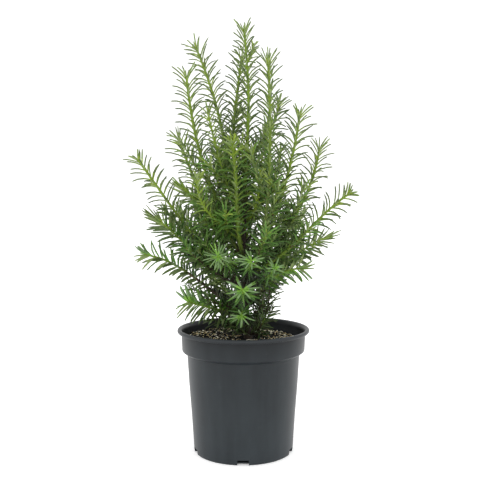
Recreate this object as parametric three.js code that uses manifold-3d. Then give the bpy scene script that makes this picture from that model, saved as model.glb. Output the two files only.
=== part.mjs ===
// A young English yew in a round nursery pot: pot, compost, trunk, boughs and foliage masses.
// Millimetres, +Z up. The origin is the centre of the pot's flat underside. -Y is the front, +X the right.

import * as THREE from 'three';
import { mergeVertices } from 'three/addons/utils/BufferGeometryUtils.js';
import Module from 'manifold-3d';

const wasm = await Module();
wasm.setup();

// ---------------------------------------------------------------- driving dimensions

const GAP = 0.35; // clearance kept between neighbouring pieces

const POT = {
  height: 178,
  footRadius: 71.6,
  footEdge: 1.4, // small bevel round the underside
  bodyTop: 142.5, // where the tapered body meets the shoulder
  bodyTopRadius: 81,
  collarFoot: 147,
  collarFootRadius: 88.2,
  collarTop: 170.8,
  collarTopRadius: 89.4,
  lipRadius: 95,
  lipBevel: 2,
  wall: 1.6,
  shoulderLift: 1, // how much higher the shoulder's inside is than its outside
  floor: 2.4,
  segments: 36,
  notches: 5, // drain cuts in the corner of wall and floor
  notchWidth: 16,
  notchHeight: 7.2,
  notchDepth: 8, // in from the wall's outside
  notchRunOut: 12, // how far the cut passes the wall
};

const COMPOST = {
  level: 162.5,
  edgeLevel: 161.2,
  flatRadius: 24, // level patch that the trunk stands on
  slope: -0.03, // the surface is higher on the left
  relief: 1.3,
  humpWidth: 11,
  humpDepth: 13,
  edgeSpread: 0.6, // how much wider its top is than the collar's foot
  rings: [0.82, 0.62, 0.44], // circles of points on the top, as shares of its radius
};

const TRUNK = {
  top: 605,
  footRadius: 8.4, // over the root flare
  baseRadius: 4.7, // just above the flare
  tipRadius: 1.1,
  flareHeight: 15,
  sides: 9,
  rings: 13,
  crowding: 1.25, // above 1, the rings stand closer near the foot
  thinning: 0.8, // under 1, the trunk thins faster near the foot
};

// Height, then how far the trunk's centre stands to the right of and behind the pot's axis.
const TRUNK_SWAY = [
  [162, 6.6, 0],
  [222, 1.2, 3],
  [298, 0.8, 3],
  [398, 3.8, -2],
  [508, 7.3, 2],
  [606, 1.2, 0],
];

const BOUGH = { footRadius: 3.1, tipRadius: 1.9, sides: 6, rings: 5 };

const SHOOT_BEND = 0.36; // how firmly a shoot keeps its climb at either end, as a share of its length

const MASS = {
  sides: 6,
  rings: 5,
  girth: 20, // radius at the widest, out to the needle tips
  bare: 0.3, // share of the shoot, from the trunk, that carries no mass
  overrun: 7, // how far the last needles pass the shoot's tip
  fullest: 0.38, // share of its length where a mass is widest
  bluntness: 0.45, // under 1, the ends are rounder
  uneven: 0.13,
};

// Short masses at the front, which hold rosettes of needles.
const FRONT_SPRAY = { girth: 21, fullest: 0.62 };

// Every shoot leaves the trunk at the height `foot` and swings out and up to its tip.
// bearing: degrees from +X towards +Y. reach: from the trunk to the tip, level. tip: height of the tip.
// climb: degrees above level, at the trunk and at the tip. veer: sideways swing in degrees.
// bare, girth, fullest: the shoot's own values in place of those of MASS.
const SPIRES = {
  left_top: { bearing: 150, foot: 326, reach: 82, tip: 597, climb: [70, 64], veer: -7, bare: 0.34 },
  right_top: { bearing: -53, foot: 248, reach: 56, tip: 554, climb: [20, 93], veer: -14, bare: 0.38 },
  back_top: { bearing: 99, foot: 371, reach: 38, tip: 567, climb: [36, 72], veer: 25, girth: 19 },
  left_high: { bearing: -149, foot: 299, reach: 91, tip: 542, climb: [46, 84], veer: 7, bare: 0.32 },
  right_high: { bearing: -37, foot: 226, reach: 95, tip: 490, climb: [66, 80], veer: 7, bare: 0.42 },
  right_small: { bearing: 38, foot: 400, reach: 60, tip: 502, climb: [74, 87], girth: 18 },
  left_inner: { bearing: -128, foot: 328, reach: 79, tip: 487, climb: [44, 72], veer: 6 },
  left_mid: { bearing: 153, foot: 275, reach: 112, tip: 461, climb: [26, 67], veer: -15, bare: 0.42 },
  right_mid: { bearing: 19, foot: 258, reach: 119, tip: 448, climb: [38, 79], veer: -11, bare: 0.42 },
  front_tall: { bearing: -102, foot: 283, reach: 74, tip: 440, climb: [21, 44], bare: 0.4 },
  left_low: { bearing: -165, foot: 236, reach: 149, tip: 424, climb: [37, 58], veer: 12, bare: 0.42 },
  right_low: { bearing: -15, foot: 253, reach: 159, tip: 377, climb: [18, 33], veer: 11, bare: 0.4 },
  right_inner: { bearing: 37, foot: 332, reach: 66, tip: 433, climb: [36, 86], girth: 18 },
  front_high: { bearing: -68, foot: 319, reach: 64, tip: 399, climb: [36, 84], girth: 18, bare: 0.4 },
  left_near: { bearing: -130, foot: 299, reach: 94, tip: 394, climb: [35, 105], girth: 19, bare: 0.42 },
  left_front: { bearing: -139, foot: 271, reach: 106, tip: 376, climb: [62, 33], bare: 0.5 },
  left_skirt: { bearing: -156, foot: 237, reach: 136, tip: 341, climb: [16, 34], veer: 3, bare: 0.4 },
  right_skirt: { bearing: 20, foot: 228, reach: 147, tip: 316, climb: [34, 26], veer: -5, bare: 0.4 },
  left_foot: { bearing: 170, foot: 203, reach: 158, tip: 281, climb: [18, 8], veer: -9, bare: 0.36 },
  right_foot: { bearing: -19, foot: 208, reach: 99, tip: 249, climb: [29, -31], veer: 6, bare: 0.4 },
  right_base: { bearing: -20, foot: 180, reach: 64, tip: 232, climb: [22, 50], girth: 15, bare: 0.36 },
  front_left: { bearing: -112, foot: 256, reach: 92, tip: 288, climb: [22, 10], bare: 0.45, ...FRONT_SPRAY },
  front_centre: { bearing: -83, foot: 262, reach: 87, tip: 284, climb: [18, 8], bare: 0.45, ...FRONT_SPRAY },
  front_right: { bearing: -64, foot: 244, reach: 97, tip: 274, climb: [22, 10], bare: 0.45, ...FRONT_SPRAY },
  front_low: { bearing: -91, foot: 222, reach: 97, tip: 246, climb: [18, 8], bare: 0.4, ...FRONT_SPRAY },
  front_foot: { bearing: -95, foot: 186, reach: 73, tip: 204, climb: [20, 4], bare: 0.34, ...FRONT_SPRAY },
  left_front_foot: { bearing: -134, foot: 192, reach: 99, tip: 216, climb: [24, 0], ...FRONT_SPRAY },
  back_high_left: { bearing: 118, foot: 298, reach: 84, tip: 428, climb: [40, 78], veer: -8, bare: 0.4 },
  back_high_right: { bearing: 62, foot: 302, reach: 78, tip: 432, climb: [42, 80], veer: 6, bare: 0.4 },
  back_mid: { bearing: 92, foot: 260, reach: 114, tip: 378, climb: [30, 62], veer: 8, bare: 0.42 },
  back_mid_left: { bearing: 142, foot: 244, reach: 122, tip: 340, climb: [28, 44], veer: 6, bare: 0.46 },
  back_mid_right: { bearing: 44, foot: 242, reach: 124, tip: 336, climb: [26, 46], veer: -6, bare: 0.46 },
  back_low: { bearing: 88, foot: 214, reach: 126, tip: 288, climb: [20, 34], veer: -6, bare: 0.42 },
  back_low_left: { bearing: 126, foot: 204, reach: 108, tip: 246, climb: [20, 22], veer: 6, bare: 0.4 },
  back_low_right: { bearing: 54, foot: 208, reach: 112, tip: 254, climb: [18, 24], veer: -8, bare: 0.4 },
};

// Shoots whose bare part is stout enough to be a bough of its own.
const BOUGHS = [
  'left_low', 'left_high', 'left_skirt', 'left_foot', 'right_high', 'right_mid', 'right_skirt', 'front_tall',
  'back_mid', 'back_low',
];

// The dense heart of the crown: tiers of stout masses that stand round the trunk.
const TIERS = [
  { name: 'lower', count: 3, firstBearing: 90, foot: 184, reach: 34, tip: 250, girth: 26 },
  { name: 'middle', count: 3, firstBearing: 30, foot: 244, reach: 46, tip: 342, girth: 34 },
  { name: 'upper', count: 3, firstBearing: 95, foot: 328, reach: 30, tip: 430, girth: 28 },
];

// spread: how much the reach varies within a tier.
const HEART = { climb: [45, 88], bare: 0.12, spread: 0.15 };

const LEADER = { bearing: 0, foot: 434 }; // the mass round the trunk's top

// ---------------------------------------------------------------- finishes

const finish = (color, roughness) => new THREE.MeshStandardMaterial({ color, roughness, metalness: 0 });

const BLACK_PLASTIC = finish(0x3b4044, 0.55);
const DARK_COMPOST = finish(0x3a2a1c, 0.95);
const BROWN_BARK = finish(0x5b4630, 0.85);
const YOUNG_GREEN = finish(0x6f9a3c, 0.6);
const OLD_GREEN = finish(0x35592a, 0.65);

// ---------------------------------------------------------------- solids

const degrees = THREE.MathUtils.degToRad;

/** Six times the signed volume inside an indexed triangle mesh. */
function signedVolume(positions, index) {
  const [a, b, c] = [new THREE.Vector3(), new THREE.Vector3(), new THREE.Vector3()];
  let total = 0;
  for (let i = 0; i < index.length; i += 3) {
    a.fromArray(positions, index[i] * 3);
    b.fromArray(positions, index[i + 1] * 3);
    c.fromArray(positions, index[i + 2] * 3);
    total += a.dot(b.cross(c));
  }
  return total;
}

/** Turns a closed three.js geometry into a solid that can be cut and joined, with its faces pointing out. */
function solidFrom(geometry) {
  const bare = geometry.clone();
  bare.deleteAttribute('normal');
  bare.deleteAttribute('uv');
  const merged = mergeVertices(bare, 1e-4);
  const positions = Float32Array.from(merged.attributes.position.array);
  const corners = [];
  for (let i = 0; i < merged.index.count; i += 3) {
    const [a, b, c] = [0, 1, 2].map((k) => merged.index.getX(i + k));
    const hasArea = a !== b && b !== c && c !== a;
    if (hasArea) corners.push(a, b, c);
  }
  if (signedVolume(positions, corners) < 0) corners.reverse();
  const triVerts = Uint32Array.from(corners);
  return new wasm.Manifold(new wasm.Mesh({ numProp: 3, vertProperties: positions, triVerts }));
}

/** A named mesh of a solid. */
function meshOf(name, solid, material) {
  const { vertProperties, triVerts } = solid.getMesh();
  const geometry = new THREE.BufferGeometry();
  geometry.setAttribute('position', new THREE.BufferAttribute(vertProperties, 3));
  geometry.setIndex(new THREE.BufferAttribute(triVerts, 1));
  geometry.computeVertexNormals();
  const mesh = new THREE.Mesh(geometry, material);
  mesh.name = name;
  return mesh;
}

/** The biggest of the pieces that a cut leaves. */
function biggestPiece(solid) {
  const pieces = solid.decompose();
  return pieces.reduce((best, piece) => (piece.volume() > best.volume() ? piece : best));
}

/** Whether the bounding boxes of two solids meet. */
function boxesMeet(one, other) {
  const [a, b] = [one.boundingBox(), other.boundingBox()];
  return [0, 1, 2].every((k) => a.min[k] < b.max[k] && b.min[k] < a.max[k]);
}

/** Cuts a solid round each of the others that it meets and keeps the biggest piece. */
function cutRound(solid, others) {
  const near = others.filter((other) => boxesMeet(solid, other));
  const left = near.reduce((rest, other) => rest.subtract(other), solid);
  return biggestPiece(left);
}

/** Turns an outline of [radius, height] pairs round the Z axis. */
function turned(outline, segments) {
  const points = outline.map(([radius, height]) => new THREE.Vector2(radius, height));
  const geometry = new THREE.LatheGeometry(points, segments);
  geometry.rotateX(Math.PI / 2);
  return geometry;
}

/** Moves every vertex of a geometry by a function of its position. */
function reshaped(geometry, move) {
  const place = geometry.attributes.position;
  const point = new THREE.Vector3();
  for (let i = 0; i < place.count; i += 1) {
    point.fromBufferAttribute(place, i);
    move(point);
    place.setXYZ(i, point.x, point.y, point.z);
  }
  return geometry;
}

// ---------------------------------------------------------------- pot and compost

/** The outer outline of the pot, from the edge of its underside up to its lip. */
function potOutside() {
  return [
    [POT.footRadius - POT.footEdge, 0],
    [POT.footRadius, POT.footEdge],
    [POT.bodyTopRadius, POT.bodyTop],
    [POT.collarFootRadius, POT.collarFoot],
    [POT.collarTopRadius, POT.collarTop],
  ];
}

/** The pot: thin wall, stepped collar, rolled lip and flat floor, with drain cuts round its foot. */
function buildPot() {
  const { height, lipRadius, lipBevel, wall, floor, collarTopRadius, collarTop } = POT;
  const innerCollar = collarTopRadius - wall;
  const lip = [
    [lipRadius - lipBevel, collarTop],
    [lipRadius, collarTop + lipBevel],
    [lipRadius, height - lipBevel],
    [lipRadius - lipBevel, height],
    [innerCollar + lipBevel, height],
    [innerCollar, height - lipBevel],
  ];
  const inside = [
    [innerCollar, collarTop],
    [POT.collarFootRadius - wall, POT.collarFoot + POT.shoulderLift],
    [POT.bodyTopRadius - wall, POT.bodyTop + POT.shoulderLift],
    [POT.footRadius - wall, floor],
  ];
  const outline = [[0, 0], ...potOutside(), ...lip, ...inside, [0, floor]];
  let pot = solidFrom(turned(outline, POT.segments));
  for (let i = 0; i < POT.notches; i += 1) {
    const cut = new THREE.BoxGeometry(POT.notchRunOut + POT.notchDepth, POT.notchWidth, 2 * POT.notchHeight);
    cut.translate(POT.footRadius + (POT.notchRunOut - POT.notchDepth) / 2, 0, 0);
    cut.rotateZ(degrees(-90 + (360 * i) / POT.notches));
    pot = pot.subtract(solidFrom(cut));
  }
  return pot;
}

/** Height that the compost's top adds at a point: a slope to the left and low humps, level by the trunk. */
function compostRelief(x, y) {
  const away = Math.hypot(x, y) - COMPOST.flatRadius;
  const share = THREE.MathUtils.smoothstep(away, 0, COMPOST.flatRadius);
  const humps = Math.sin(x / COMPOST.humpWidth + 1.7) * Math.cos(y / COMPOST.humpDepth - 0.6);
  return share * (COMPOST.relief * humps + COMPOST.slope * x);
}

/** The compost: it fills the pot up to a little below the lip, and its top is uneven. */
function buildCompost() {
  const inset = POT.wall + GAP;
  const lift = POT.shoulderLift + GAP;
  const edgeRadius = POT.collarFootRadius + COMPOST.edgeSpread - inset;
  const outline = [
    [0, POT.floor + GAP],
    [POT.footRadius - inset, POT.floor + GAP],
    [POT.bodyTopRadius - inset, POT.bodyTop + lift],
    [POT.collarFootRadius - inset, POT.collarFoot + lift],
    [edgeRadius, COMPOST.edgeLevel],
    ...COMPOST.rings.map((share) => [share * edgeRadius, COMPOST.level]),
    [COMPOST.flatRadius, COMPOST.level],
    [0, COMPOST.level],
  ];
  const lowest = Math.min(COMPOST.level, COMPOST.edgeLevel);
  const shape = reshaped(turned(outline, POT.segments), (point) => {
    if (point.z >= lowest) point.z += compostRelief(point.x, point.y);
  });
  return solidFrom(shape);
}

// ---------------------------------------------------------------- trunk, boughs and masses

const trunkLine = new THREE.CatmullRomCurve3(
  TRUNK_SWAY.map(([height, right, behind]) => new THREE.Vector3(right, behind, height)),
);

/** The trunk's centre at a height, found by halving the stretch of its line that holds it. */
function trunkCentre(height) {
  let [low, high] = [0, 1];
  for (let i = 0; i < 24; i += 1) {
    const middle = (low + high) / 2;
    if (trunkLine.getPoint(middle).z < height) low = middle;
    else high = middle;
  }
  return trunkLine.getPoint(low);
}

/** The trunk: flat cut at the compost, root flare, then an even taper up to the leading tip. */
function buildTrunk(extra) {
  const foot = COMPOST.level + GAP;
  const outline = [[0, foot - extra]];
  for (let i = 0; i <= TRUNK.rings; i += 1) {
    const share = (i / TRUNK.rings) ** TRUNK.crowding;
    const height = THREE.MathUtils.lerp(foot, TRUNK.top, share);
    const flare = Math.exp((foot - height) / TRUNK.flareHeight) * (TRUNK.footRadius - TRUNK.baseRadius);
    const taper = THREE.MathUtils.lerp(TRUNK.baseRadius, TRUNK.tipRadius, share ** TRUNK.thinning);
    outline.push([taper + flare + extra, i === 0 ? foot - extra : height]);
  }
  outline.push([0, TRUNK.top + 1 + extra]);
  const shape = reshaped(turned(outline, TRUNK.sides), (point) => {
    const centre = trunkCentre(THREE.MathUtils.clamp(point.z, foot, TRUNK.top));
    point.x += centre.x;
    point.y += centre.y;
  });
  return solidFrom(shape);
}

/** The line of a shoot, from the trunk's centre to the shoot's tip. */
function shootLine(shoot) {
  const { bearing, foot, reach, tip, climb, veer = 0 } = shoot;
  const direction = (turn, rise) => {
    const [around, up] = [degrees(turn), degrees(rise)];
    const level = Math.cos(up);
    return new THREE.Vector3(level * Math.cos(around), level * Math.sin(around), Math.sin(up));
  };
  const start = trunkCentre(foot);
  const end = direction(bearing, 0).multiplyScalar(reach).add(start);
  end.z = tip;
  const arm = SHOOT_BEND * start.distanceTo(end);
  const near = direction(bearing + veer, climb[0]).multiplyScalar(arm).add(start);
  const far = direction(bearing - veer, climb[1]).multiplyScalar(-arm).add(end);
  return new THREE.CubicBezierCurve3(start, near, far, end);
}

/** Bends a turned shape, whose height runs from 0 to 1, along a stretch of a line. */
function bent(outline, sides, line, bearing, uneven) {
  const across = new THREE.Vector3(-Math.sin(degrees(bearing)), Math.cos(degrees(bearing)), 0);
  const [along, side, over] = [new THREE.Vector3(), new THREE.Vector3(), new THREE.Vector3()];
  return reshaped(turned(outline, sides), (point) => {
    const share = THREE.MathUtils.clamp(point.z, 0, 1);
    const angle = Math.atan2(point.y, point.x);
    const wobble = uneven * Math.sin(3 * angle + 9 * share + bearing) * Math.cos(7 * share + 2 * angle);
    line.getTangent(share, along);
    side.copy(across).addScaledVector(along, -across.dot(along)).normalize();
    over.crossVectors(along, side);
    const centre = line.getPoint(share).addScaledVector(along, (point.z - share) * line.getLength());
    centre.addScaledVector(side, point.x * (1 + wobble));
    centre.addScaledVector(over, point.y * (1 + wobble));
    point.copy(centre);
  });
}

/** The part of a line between two shares of it. */
function stretchOf(line, from, to) {
  const steps = 8;
  const points = [];
  for (let i = 0; i <= steps; i += 1) {
    points.push(line.getPoint(THREE.MathUtils.lerp(from, to, i / steps)));
  }
  return new THREE.CatmullRomCurve3(points);
}

/** A bough: one tapering limb, from inside the trunk to where its mass begins. */
function buildBough(shoot, extra) {
  const line = stretchOf(shootLine(shoot), 0, (shoot.bare ?? MASS.bare) - 0.01);
  const end = extra / line.getLength();
  const outline = [[0, -end]];
  for (let i = 0; i < BOUGH.rings; i += 1) {
    const share = i / (BOUGH.rings - 1);
    const radius = THREE.MathUtils.lerp(BOUGH.footRadius, BOUGH.tipRadius, share);
    const edge = THREE.MathUtils.lerp(-end, 1 + end, share);
    outline.push([radius + extra, edge]);
  }
  outline.push([0, 1 + end]);
  return solidFrom(bent(outline, BOUGH.sides, line, shoot.bearing, 0));
}

/** How wide a mass is at a share of its length, from 0 at both ends to 1 where it is fullest. */
function massWidth(share, fullest) {
  const lean = Math.log(0.5) / Math.log(fullest);
  return Math.sin(Math.PI * share ** lean) ** MASS.bluntness;
}

/** A mass of needles round a line, swollen by `extra` where it serves to cut its neighbours. */
function buildMass(line, shoot, extra) {
  const { bearing, girth = MASS.girth, fullest = MASS.fullest } = shoot;
  const length = line.getLength();
  const outline = [[0, -extra / length]];
  for (let i = 1; i <= MASS.rings; i += 1) {
    const share = i / (MASS.rings + 1);
    outline.push([girth * massWidth(share, fullest) + extra, share]);
  }
  outline.push([0, 1 + (MASS.overrun + extra) / length]);
  return solidFrom(bent(outline, MASS.sides, line, bearing, MASS.uneven));
}

/** The stretch of a shoot that carries its mass. */
function massLine(shoot) {
  return stretchOf(shootLine(shoot), shoot.bare ?? MASS.bare, 1);
}

/** The shoots at the heart of every tier, which hug the trunk, each under its own name. */
function heartShoots() {
  return TIERS.flatMap((tier) => Array.from({ length: tier.count }, (_, i) => {
    const bearing = tier.firstBearing + (360 * i) / tier.count;
    const reach = tier.reach * (1 + HEART.spread * Math.sin(2.3 * i + tier.foot));
    return [`heart_${tier.name}_${i + 1}`, { ...tier, ...HEART, bearing, reach }];
  }));
}

// ---------------------------------------------------------------- assembly

const plant = new THREE.Group();
plant.name = 'english_yew_in_pot';

const compost = buildCompost();
plant.add(meshOf('nursery_pot', buildPot(), BLACK_PLASTIC));
plant.add(meshOf('compost', compost, DARK_COMPOST));
plant.add(meshOf('trunk', buildTrunk(0), BROWN_BARK));

const cutters = [buildTrunk(GAP)];

for (const name of BOUGHS) {
  const shoot = SPIRES[name];
  plant.add(meshOf(`bough_${name}`, cutRound(buildBough(shoot, 0), cutters), BROWN_BARK));
  cutters.push(buildBough(shoot, GAP));
}

const leaderLine = new THREE.CatmullRomCurve3(
  [0, 0.25, 0.5, 0.75, 1].map((share) => trunkCentre(THREE.MathUtils.lerp(LEADER.foot, TRUNK.top, share))),
);
const masses = [
  ['leader', LEADER, leaderLine, YOUNG_GREEN],
  ...Object.entries(SPIRES).map(([name, shoot]) => [name, shoot, massLine(shoot), YOUNG_GREEN]),
  ...heartShoots().map(([name, shoot]) => [name, shoot, massLine(shoot), OLD_GREEN]),
];

for (const [name, shoot, line, material] of masses) {
  const solid = cutRound(buildMass(line, shoot, 0), cutters);
  plant.add(meshOf(`foliage_${name}`, solid, material));
  cutters.push(buildMass(line, shoot, GAP));
}

export default plant;
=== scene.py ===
"""A young English yew in a round nursery pot, grown over its solids and lit in a plain white studio.

Sizes in the classes are millimetres and degrees; materials and finished meshes are in metres.
+X is the right of the plant, +Y its back, and the origin is the centre of the pot's underside.
"""

import logging
import math
from dataclasses import dataclass, field
from enum import Enum
from typing import Any, Optional, Sequence, Union

import bpy
import numpy as np
from mathutils import Euler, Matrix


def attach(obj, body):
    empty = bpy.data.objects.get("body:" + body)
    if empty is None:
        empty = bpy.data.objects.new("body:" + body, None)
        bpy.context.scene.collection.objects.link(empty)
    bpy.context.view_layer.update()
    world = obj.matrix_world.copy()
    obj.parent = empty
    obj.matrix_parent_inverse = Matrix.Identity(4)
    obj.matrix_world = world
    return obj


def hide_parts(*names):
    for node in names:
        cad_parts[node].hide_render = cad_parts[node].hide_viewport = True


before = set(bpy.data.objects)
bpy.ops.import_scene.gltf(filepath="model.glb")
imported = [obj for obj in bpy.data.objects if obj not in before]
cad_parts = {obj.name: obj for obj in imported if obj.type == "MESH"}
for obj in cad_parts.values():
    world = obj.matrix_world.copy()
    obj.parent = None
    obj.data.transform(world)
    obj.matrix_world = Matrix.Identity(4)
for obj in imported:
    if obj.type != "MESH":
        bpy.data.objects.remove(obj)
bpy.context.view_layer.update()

LOG = logging.getLogger("yew")
MM = 0.001
GOLDEN = math.radians(137.508)
UP = np.array([0.0, 0.0, 1.0])

Array = np.ndarray
Number = Union[int, float]
Pair = tuple[float, float]
Triple = tuple[float, float, float]
Colour = Triple
Row = tuple[float, ...]
Table = tuple[Row, Row]
Object, Material = bpy.types.Object, bpy.types.Material

WHITE: Colour = (255, 255, 255)


# -------- shading


def linear(colour: Sequence[Number]) -> Row:
    """The linear colour, with an alpha of 1, of an 8-bit display colour, by the sRGB curve."""
    shares = [c / 255 for c in colour]
    return (*(s / 12.92 if s <= 0.04045 else ((s + 0.055) / 1.055) ** 2.4 for s in shares), 1.0)


class Wire:
    """A value on its way through a material; arithmetic on it adds Math nodes."""

    def __init__(self, bench: "Bench", socket: bpy.types.NodeSocket) -> None:
        """Wraps an output socket of a node on a bench."""
        self.bench, self.socket = bench, socket

    def __add__(self, other: "Term") -> "Wire":
        """Sum."""
        return self.bench.math("ADD", self, other)

    def __sub__(self, other: "Term") -> "Wire":
        """Difference."""
        return self.bench.math("SUBTRACT", self, other)

    def __rsub__(self, other: "Term") -> "Wire":
        """Difference the other way round."""
        return self.bench.math("SUBTRACT", other, self)

    def __mul__(self, other: "Term") -> "Wire":
        """Product."""
        return self.bench.math("MULTIPLY", self, other)

    __radd__ = __add__
    __rmul__ = __mul__

    def between(self, low: Number, high: Number) -> "Wire":
        """Share of the way from low to high, held between 0 and 1."""
        inputs = {"Value": self, "From Min": low, "From Max": high}
        return self.bench.node("ShaderNodeMapRange", {"clamp": True}, inputs)


Term = Union[Wire, Number]


class Bench:
    """Builds the node tree of one material around a single Principled shader."""

    def __init__(self, name: str) -> None:
        """Starts an empty material.

        Args:
            name: the material's name.
        """
        self.material = bpy.data.materials.new(name)
        self.material.use_nodes = True
        self.tree = self.material.node_tree
        self.tree.nodes.clear()

    def node(
        self, kind: str, settings: dict[str, Any], inputs: dict[Any, Any], output: Union[int, str] = 0
    ) -> Wire:
        """Adds a node.

        Args:
            kind: the node's type.
            settings: its properties.
            inputs: a value or a wire for each socket named or numbered.
            output: which output to return.

        Returns:
            That output of the node.
        """
        made = self.tree.nodes.new(kind)
        for key, value in settings.items():
            setattr(made, key, value)
        for key, value in inputs.items():
            if isinstance(value, Wire):
                self.tree.links.new(value.socket, made.inputs[key])
            else:
                made.inputs[key].default_value = value
        return Wire(self, made.outputs[output])

    def math(self, operation: str, *terms: Term) -> Wire:
        """Adds a Math node that works on its terms in order."""
        return self.node("ShaderNodeMath", {"operation": operation}, dict(enumerate(terms)))

    def blend(self, share: Term, low: Any, high: Any) -> Wire:
        """Mixes two colours, each a wire or a display colour, by the share of the second."""
        low, high = (c if isinstance(c, Wire) else linear(c) for c in (low, high))
        return self.node("ShaderNodeMix", {"data_type": "RGBA"}, {0: share, 6: low, 7: high}, 2)

    def place(self, stretch: Triple = (1, 1, 1)) -> Wire:
        """The place on the object, in metres, stretched along each axis."""
        spot = self.node("ShaderNodeTexCoord", {}, {}, "Object")
        return self.node("ShaderNodeVectorMath", {"operation": "MULTIPLY"}, {0: spot, 1: stretch})

    def rise(self) -> Wire:
        """The height above the ground, in metres."""
        return self.node("ShaderNodeSeparateXYZ", {}, {0: self.place()}, "Z")

    def noise(self, scale: float, detail: float, rough: float = 0.55, stretch: Triple = (1, 1, 1)) -> Wire:
        """Soft noise from 0 to 1: its waves for each metre, finer layers, their weight and its stretch."""
        inputs = {"Vector": self.place(stretch), "Scale": scale, "Detail": detail, "Roughness": rough}
        return self.node("ShaderNodeTexNoise", {}, inputs)

    def bump(self, height: Wire, strength: float, depth: float) -> Wire:
        """A normal bent by a height from 0 to 1, which stands for a depth in metres."""
        inputs = {"Height": height, "Strength": strength, "Distance": depth}
        return self.node("ShaderNodeBump", {}, inputs)

    def shade(self, **sockets: Any) -> Material:
        """Ends the tree in a Principled shader.

        Args:
            sockets: its sockets, with _ for each space in a name.

        Returns:
            The finished material.
        """
        inputs = {name.replace("_", " "): value for name, value in sockets.items()}
        shader = self.node("ShaderNodeBsdfPrincipled", {}, inputs)
        out = self.tree.nodes.new("ShaderNodeOutputMaterial")
        self.tree.links.new(shader.socket, out.inputs["Surface"])
        return self.material


@dataclass(frozen=True)
class PlainFinish:
    """One of a family of plain finishes that are dealt out over many small faces."""

    name: str
    colour: Colour
    roughness: float = 0.5
    specular: float = 0.3
    glow: float = 0.0

    def material(self) -> Material:
        """The finish as a material."""
        return Bench(self.name).shade(
            Base_Color=linear(self.colour),
            Roughness=self.roughness,
            Specular_IOR_Level=self.specular,
            Emission_Color=linear(WHITE),
            Emission_Strength=self.glow,
        )


@dataclass(frozen=True)
class PotPlastic:
    """Charcoal moulded plastic: faintly streaked and dusty, with a fine moulded grain, with painted shade
    that darkens it towards the top and under the lip, and a painted highlight on the lip's top.
    """

    dark: Colour = (32, 38, 42)
    light: Colour = (44, 51, 55)
    # painted shade: a near-black tint mixed in more towards the top of the pot and from the collar up under
    # the lip
    painted_shade: Colour = (2, 4, 6)
    # painted highlight: a paler tint on the top of the lip
    painted_highlight: Colour = (58, 62, 66)
    dust: Colour = (92, 92, 88)
    mottle: Pair = (0.35, 0.68)
    # painted shade: heights in metres over which it grows towards the top and under the lip, and how strong
    # each part is
    shade_rise: Pair = (0.02, 0.15)
    under_lip: Pair = (0.150, 0.1715)
    shade_strength: Pair = (0.38, 0.26)
    # heights in metres over which the painted highlight fades in on the lip's top, and how strong it is
    lip_top: Pair = (0.1735, 0.1755)
    highlight_share: float = 0.4
    dusty: Pair = (0.62, 0.8)
    dustiness: float = 0.10
    roughness: float = 0.31
    specular: float = 0.28

    def material(self) -> Material:
        """Builds the finish.

        Returns:
            The material.
        """
        bench = Bench("pot_plastic_charcoal")
        streaks = bench.noise(60, 4, stretch=(1, 1, 0.12))
        clouds, grain = bench.noise(22, 3), bench.noise(1500, 2, 0.6)
        base = bench.blend((streaks * 0.6 + clouds * 0.4).between(*self.mottle), self.dark, self.light)
        rise = bench.rise()
        above, below = self.shade_strength
        # painted shade, darker towards the top and deepest under the lip
        painted_shade = rise.between(*self.shade_rise) * above + rise.between(*self.under_lip) * below
        base = bench.blend(painted_shade, base, self.painted_shade)
        # painted highlight along the top of the lip
        base = bench.blend(rise.between(*self.lip_top) * self.highlight_share, base, self.painted_highlight)
        dust = bench.noise(90, 5, 0.7).between(*self.dusty) * self.dustiness
        return bench.shade(
            Base_Color=bench.blend(dust, base, self.dust),
            Roughness=clouds * 0.12 + grain * 0.06 + self.roughness,
            Normal=bench.bump(grain * 0.7 + streaks * 0.3, 0.12, 0.0004),
            Specular_IOR_Level=self.specular,
        )


@dataclass(frozen=True)
class BarkFinish:
    """Thin flaking bark: brown by the ground, turning green with fine lines where the trunk is young."""

    crack: Colour = (26, 22, 18)
    brown: Colour = (60, 50, 40)
    ash: Colour = (82, 76, 66)
    green: Colour = (124, 152, 46)
    line: Colour = (78, 104, 40)
    greening: Pair = (0.37, 0.47)
    weathered: Pair = (0.42, 0.7)
    flaked: Pair = (0.5, 0.36)
    lined: Pair = (0.5, 0.7)

    def material(self) -> Material:
        """Builds the finish.

        Returns:
            The material.
        """
        bench = Bench("yew_bark")
        flakes = bench.noise(700, 4, 0.65, (1, 1, 0.18))
        patches = bench.noise(130, 3, stretch=(1, 1, 0.5))
        lines = bench.noise(1400, 2, stretch=(1, 1, 0.05)).between(*self.lined)
        old = bench.blend(patches.between(*self.weathered), self.brown, self.ash)
        old = bench.blend(flakes.between(*self.flaked), old, self.crack)
        young = (bench.rise() + patches * 0.05).between(*self.greening)
        return bench.shade(
            Base_Color=bench.blend(young, old, bench.blend(lines, self.green, self.line)),
            Roughness=0.86 - young * 0.3,
            Normal=bench.bump(flakes, 0.5, 0.0005),
            Specular_IOR_Level=0.3,
        )


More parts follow.
